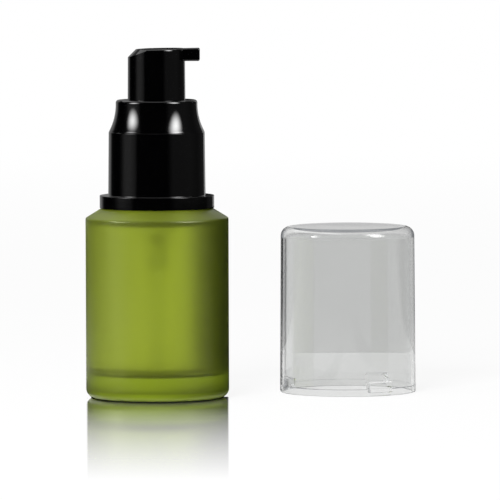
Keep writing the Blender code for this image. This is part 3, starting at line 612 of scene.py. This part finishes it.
def coil(name, radius, wire, foot, top, turns, closed_pitch, material):
    """A compression spring of round wire with closed end turns."""
    per_turn, ring = 40, 12
    middle = (top - foot - 2 * wire - 2 * closed_pitch) / (turns - 2)
    centres = []
    for step in range(turns * per_turn + 1):
        turn = step / per_turn
        ends = min(turn, 1) + max(turn - (turns - 1), 0)
        height = foot + wire + ends * closed_pitch + (turn - ends) * middle
        angle = math.tau * turn
        centres.append(Vector((radius * math.cos(angle), radius * math.sin(angle), height)))
    angles = [math.tau * k / ring for k in range(ring)]
    sections = []
    for index, centre in enumerate(centres):
        ahead = centres[min(index + 1, len(centres) - 1)] - centres[max(index - 1, 0)]
        out = Vector((centre.x, centre.y, 0)).normalized()
        up = ahead.normalized().cross(out)
        sections.append([centre + wire * (out * math.cos(a) + up * math.sin(a)) for a in angles])
    return mesh_object(name, swept(sections), material, 60.0)


def dress_everything():
    glass = frosted_glass()
    clear = clear_plastic()
    black = moulded("black_plastic", (0.0004, 0.0004, 0.0005), 0.085, {"IOR": 1.49}, uneven=0.02, peel=0.035,
                    peel_scale=420.0, mottle=0.15)
    white = moulded("white_plastic", (0.80, 0.80, 0.78), 0.36)
    natural = moulded("natural_plastic", (0.92, 0.93, 0.91), 0.12, {"Transmission Weight": 0.96, "IOR": 1.1})
    tube = moulded("tube_plastic", (0.95, 0.96, 0.95), 0.10, {"Transmission Weight": 0.98, "IOR": 1.08})
    soft = moulded("soft_plastic", (0.80, 0.82, 0.85), 0.30, {"Transmission Weight": 0.7, "IOR": 1.2})
    steel = drawn_steel()
    foam = cell_foam()
    replace(glass_bottle(glass), "bottle", "bottle")
    replace(clear_cap(clear), "overcap", "overcap")
    replace(collar_shell(black), "outer_collar", "closure")
    replace(pump_button(black), "actuator", "actuator")
    for node, material in (
        ("screw_closure", white), ("stem_plug", white),
        ("pump_housing", natural), ("lock_ring", natural), ("stem", natural),
        ("dip_tube", tube), ("piston", soft), ("inlet_ball", steel), ("neck_gasket", foam),
    ):
        dress(node, material)

    neck_thread = thread("neck_thread", root=0.00875, crest=0.0097, start_z=0.0518, turns=1.4,
                         root_half=0.0006, crest_half=0.00032, material=glass)
    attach(neck_thread, "bottle")
    closure_thread = thread("closure_thread", root=0.01005, crest=0.0090, start_z=0.0502, turns=1.2,
                            root_half=0.00055, crest_half=0.0003, material=white)
    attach(closure_thread, "closure")

    low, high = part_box("return_spring")
    spring = coil("spring_wire", radius=0.00265, wire=0.000275, foot=low.z, top=high.z, turns=6,
                  closed_pitch=0.00105, material=steel)
    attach(spring, "pump")
    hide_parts("return_spring")
    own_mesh(spring)


def set_world():
    """White to the eye and to glass and gloss, a lower even light on matt surfaces."""
    matt_light = 0.20
    world = bpy.data.worlds.new("studio")
    world.use_nodes = True
    bpy.context.scene.world = world
    tree = Tree(world.node_tree)
    path = tree.add("ShaderNodeLightPath")
    seen = tree.maths("MAXIMUM", (path, "Is Camera Ray"), (path, "Is Glossy Ray"))
    clear = tree.maths("MAXIMUM", seen, (path, "Is Transmission Ray"))
    strength = tree.remap(clear, target=(matt_light, 1.0))
    back = tree.add("ShaderNodeBackground", {"Color": (1, 1, 1, 1), "Strength": strength})
    tree.add("ShaderNodeOutputWorld", {"Surface": (back, "Background")})


def mirror_share(tree):
    """How much of the polish shows on the floor: in front of the bottle alone, as wide as the camera sees the
    bottle, and whole at a low view."""
    place = tree.place()
    fade = tree.remap((place, "Y"), MIRROR_FADE)
    ahead = tree.maths("ADD", (place, "Y"), CAMERA_DISTANCE)
    aside = tree.maths("SUBTRACT", (place, "X"), CAMERA_X)
    along = tree.maths("MULTIPLY_ADD", tree.maths("DIVIDE", aside, ahead), CAMERA_DISTANCE, CAMERA_X)
    side = tree.remap(tree.maths("ABSOLUTE", along), (BODY_R, BODY_R - MIRROR_EDGE))
    front = tree.maths("LESS_THAN", (place, "Y"), 0.0)
    grazing = tree.add("ShaderNodeFresnel", {"IOR": MIRROR_IOR})
    share = tree.maths("MULTIPLY", fade, side)
    for other in (front, tree.remap((grazing, "Fac"), (0.0, MIRROR_WHOLE))):
        share = tree.maths("MULTIPLY", share, other)
    return share


def make_floor():
    """Plain white floor that keeps a soft shadow, polished in front of the bottle for its mirror image, and a
    near-black disc painted as the bottle's contact shadow where it touches the floor."""
    data = bmesh.new()
    bmesh.ops.create_circle(data, cap_ends=True, segments=96, radius=8.0)
    material, tree = new_material("floor")
    floor = mesh_object("floor", data, material)
    path = tree.add("ShaderNodeLightPath")
    even = tree.remap(tree.length(tree.coords()), source=(0.2, 1.2), target=(0.90, 1.0))
    seen = tree.maths("MAXIMUM", (path, "Is Camera Ray"), (path, "Is Transmission Ray"))
    base = tree.layers(tree.maths("MULTIPLY", seen, even), tree.matt(tone=0.93), tree.emission())
    polish = tree.add("ShaderNodeBsdfGlossy", {"Color": (0.97, 0.97, 0.97, 1), "Roughness": 0.05})
    tree.output(tree.layers(mirror_share(tree), base, (polish, "BSDF")))

    # Painted contact shadow: a near-black matt disc under the bottle's foot
    disc = bmesh.new()
    bmesh.ops.create_circle(disc, cap_ends=True, segments=96, radius=CONTACT_R)
    shade, tree = new_material("contact_shade")
    tree.output(tree.matt(tone=0.002))
    under = mesh_object("contact_shade", disc, shade)
    under.location.z = CONTACT_Z


def seen_by(piece, *rays):
    """Leaves a stage piece visible to the named kinds of ray alone."""
    for kind in ("camera", "diffuse", "glossy", "transmission", "shadow", "volume_scatter"):
        setattr(piece, f"visible_{kind}", kind in rays)


def ramp(tree, value, stops):
    """Light that follows stops of (value, strength)."""
    low, high = stops[0][0], stops[-1][0]
    made = tree.add("ShaderNodeValToRGB", {"Fac": tree.remap(value, (low, high))})
    marks = made.color_ramp.elements
    shades = [(s, s, s, 1) for _, s in stops]
    marks[0].color = shades[0]
    marks[-1].color = shades[-1]
    for (place, _), shade in zip(stops[1:-1], shades[1:-1]):
        marks.new((place - low) / (high - low)).color = shade
    return made, "Color"


def glow(tree, colour, gap=None):
    """Ends a card's material in a glow, with a gap where its share says so."""
    light = tree.emission(colour)
    if gap is not None:
        light = tree.layers(gap, light, (tree.add("ShaderNodeBsdfTransparent"), "BSDF"))
    tree.output(light)


def backfacing(tree):
    """A share that is whole on a card's back face."""
    return tree.add("ShaderNodeNewGeometry"), "Backfacing"


def card(name, rows, material, towards=None):
    """A card through rows of points. Its front face looks towards a point where one is given."""
    data = bmesh.new()
    rows = [[data.verts.new(point) for point in row] for row in rows]
    for before, after in zip(rows, rows[1:]):
        for side in range(len(before) - 1):
            data.faces.new((before[side], after[side], after[side + 1], before[side + 1]))
    made = mesh_object(name, data, material)
    first = made.data.polygons[0]
    if towards is not None and first.normal.dot(Vector(towards) - first.center) < 0:
        made.data.flip_normals()
    return made


def around(azimuth, radius, height=0.0):
    """A point by its azimuth, which is 0 in front and 90 at +X."""
    a = math.radians(azimuth)
    return Vector((radius * math.sin(a), -radius * math.cos(a), height))


def direction(azimuth, elevation):
    """A direction by its azimuth and its height over the horizon, both in degrees."""
    e = math.radians(elevation)
    return around(azimuth, math.cos(e), math.sin(e))


def bent_card(name, stops, outline, rays, one_sided=False, on_ground=False):
    """A card bent round the bottle, lit by azimuth. One on the ground fades out towards the object."""
    first, last = stops[0][0], stops[-1][0]
    steps = 64
    rows = [[around(first + (last - first) * k / steps, r, z) for r, z in outline] for k in range(steps + 1)]
    material, tree = new_material(name)
    coords = tree.coords()
    middle = (first + last) / 2
    ahead = tree.dot(coords, around(middle, 1)[:])
    aside = tree.dot(coords, around(middle + 90, 1)[:])
    turn = tree.maths("ARCTAN2", aside, ahead)
    colour = ramp(tree, tree.maths("MULTIPLY_ADD", turn, 180 / math.pi, middle), stops)
    gap = backfacing(tree) if one_sided or on_ground else None
    if on_ground:
        away = tree.length(coords)
        colour = tree.scaled(colour, tree.remap(away, DIM_RANGE, (DIM_SHARE, 1.0)))
        gap = tree.maths("MAXIMUM", tree.remap(away, FADE_RANGE, (1.0, 0.0)), gap)
    glow(tree, colour, gap)
    seen_by(card(name, rows, material, (0, 0, 0.3)), *rays)


def flat_card(name, y, foot, top, stops, rays):
    """An upright card across the back, lit by X."""
    low, high = stops[0][0], stops[-1][0]
    material, tree = new_material(name)
    glow(tree, ramp(tree, (tree.place(), "X"), stops))
    seen_by(card(name, [[(low, y, foot), (low, y, top)], [(high, y, foot), (high, y, top)]], material), *rays)


def flag(name, points, height, foot_light, towards, rays):
    """A small flag beside a glass piece, black at its top and on its front face alone."""
    material, tree = new_material(name)
    glow(tree, ramp(tree, (tree.place(), "Z"), ((0.0, foot_light), (height, 0.01))), backfacing(tree))
    rows = [[(x, y, 0), (x, y, height)] for x, y in points]
    seen_by(card(name, rows, material, towards), *rays)


def soft_box(name, azimuth, elevation, half_wide, half_high, strength, distance=1.3):
    """A soft studio light seen only in gloss, brightest in its middle. Its half sizes are in degrees."""
    wide, high = (2 * distance * math.tan(math.radians(half)) for half in (half_wide, half_high))
    material, tree = new_material(name)
    away = tree.length(tree.product(tree.coords(), (2 / wide, 2 / high, 0)))
    power = tree.remap(away, (1.0, 0.0), (0.0, strength), interpolation_type="SMOOTHSTEP")
    light = tree.emission(strength=power)
    gap = (tree.add("ShaderNodeBsdfTransparent"), "BSDF")
    both = (tree.add("ShaderNodeAddShader", {0: light, 1: gap}), "Shader")
    tree.output(tree.layers(tree.maths("LESS_THAN", away, 1.0), gap, both))
    x, y = wide / 2, high / 2
    made = card(name, [[(-x, -y, 0), (-x, y, 0)], [(x, -y, 0), (x, y, 0)]], material)
    way = direction(azimuth, elevation)
    made.location = Vector((0, 0, BOX_AIM)) + way * distance
    made.rotation_euler = way.to_track_quat("Z", "Y").to_euler()
    seen_by(made, "glossy")


def set_cards():
    """What gloss, glass and matt surfaces see around the object. The camera sees none of it."""
    ground = ((CARD_NEAR, CARD_Z), (CARD_FAR, CARD_Z))
    front_light = (
        (-118, 0.0), (-100, 0.0), (-92, 0.05), (-80, 0.33), (-66, 0.36), (-54, 0.21), (-46, 0.0),
        (26, 0.0), (40, 0.11), (85, 0.11), (112, 0.05), (118, 0.05),
    )
    right_light = ((118, 0.05), (128, 0.03), (170, 0.03))
    left_light = ((-165, 0.2), (-135, 0.05), (-128, 0.0), (-118, 0.0))
    rear_light = (
        (116, 0.05), (144, 0.05), (160, 0.02), (182, 0.02), (188, 0.3), (205, 0.40), (218, 0.40),
        (230, 0.02), (244, 0.0),
    )
    back_light = (
        (-0.6, 0.25), (-0.07, 0.28), (-0.015, 0.80), (0.0, 1.0), (0.02, 1.0), (0.035, BACK_LIGHT),
        (0.13, BACK_LIGHT), (0.2, 0.5), (0.6, 0.5),
    )
    gloss, glass, matt = ("glossy",), ("transmission",), ("diffuse",)
    bent_card("dark_cloth", front_light, (*ground, (1.6, 1.6), (0.9, 2.2)), gloss, on_ground=True)
    bent_card("right_cloth", right_light, (*ground, (1.6, 1.6)), gloss, on_ground=True)
    bent_card("left_cloth", left_light, (*ground, (1.6, 1.0)), gloss, on_ground=True)
    bent_card("rear_card", rear_light, ((0.128, 0.034), (0.128, 0.13)), gloss)
    flat_card("cap_rear", y=0.1, foot=0.040, top=0.5, stops=((0.0300, 0.6), (0.064, 0.6)), rays=gloss)
    flat_card("backdrop", y=0.135, foot=0.0, top=1.2, stops=back_light, rays=glass)
    bent_card("shade_flag", ((12, 0.02), (168, 0.02)), ((0.0190, 0.0006), (1.0, 0.0006), (1.0, 1.3)),
              matt, one_sided=True)
    bent_card("foot_shade", ((-170, 0.14), (170, 0.10)), ((0.0178, 0.0004), (0.06, 0.0004)),
              gloss + matt, one_sided=True)
    beside = [around(FLAG_FIRST + (FLAG_LAST - FLAG_FIRST) * k / 24, FLAG_R)[:2] for k in range(25)]
    flag("bottle_flag", beside, height=0.070, foot_light=0.01, towards=(0, 0, 0.02), rays=glass)
    flag("gloss_flag", beside, height=0.046, foot_light=0.01, towards=(0, 0, 0.02), rays=gloss)
    flag("cap_flag", ((0.0290, 0.0262), (0.0246, 0.0254)), height=0.041, foot_light=0.12,
         towards=(0.0304, 0.0167, 0.02), rays=glass + gloss)


def lamp(name, azimuth, elevation, size, energy, distance=1.6):
    """A soft lamp for matt surfaces. Its reflection comes from a soft box."""
    data = bpy.data.lights.new(name, "AREA")
    data.shape = "SQUARE"
    data.size = size
    data.energy = energy
    made = bpy.data.objects.new(name, data)
    bpy.context.scene.collection.objects.link(made)
    way = direction(azimuth, elevation)
    made.location = Vector((0, 0, LAMP_AIM)) + way * distance
    made.rotation_mode = "QUATERNION"
    made.rotation_quaternion = way.to_track_quat("Z", "Y")
    made.visible_camera = False
    made.visible_glossy = False
    made.visible_transmission = False


def set_camera():
    data = bpy.data.cameras.new("camera")
    data.sensor_width = SENSOR_MM
    data.lens = FOCAL_PIXELS / FRAME_PIXELS * SENSOR_MM
    data.clip_start = 0.1
    data.clip_end = 50.0
    made = bpy.data.objects.new("camera", data)
    bpy.context.scene.collection.objects.link(made)
    made.location = (CAMERA_X, -CAMERA_DISTANCE, CAMERA_HEIGHT)
    pitch = Matrix.Rotation(math.radians(90 - CAMERA_PITCH), 4, "X")
    made.rotation_euler = (pitch @ Matrix.Rotation(math.radians(CAMERA_ROLL), 4, "Z")).to_euler()
    bpy.context.scene.camera = made


def main():
    bpy.context.scene.view_settings.view_transform = "Standard"
    dress_everything()
    set_world()
    make_floor()
    set_cards()
    soft_box("left_box", azimuth=-70, elevation=22.5, half_wide=19.5, half_high=22.5, strength=19.5)
    soft_box("right_box", azimuth=57, elevation=34, half_wide=19, half_high=28, strength=24.0)
    lamp("key_lamp", azimuth=-20, elevation=26, size=0.7, energy=34.0)
    lamp("top_lamp", azimuth=-60, elevation=75, size=0.9, energy=9.0)
    set_camera()


main()
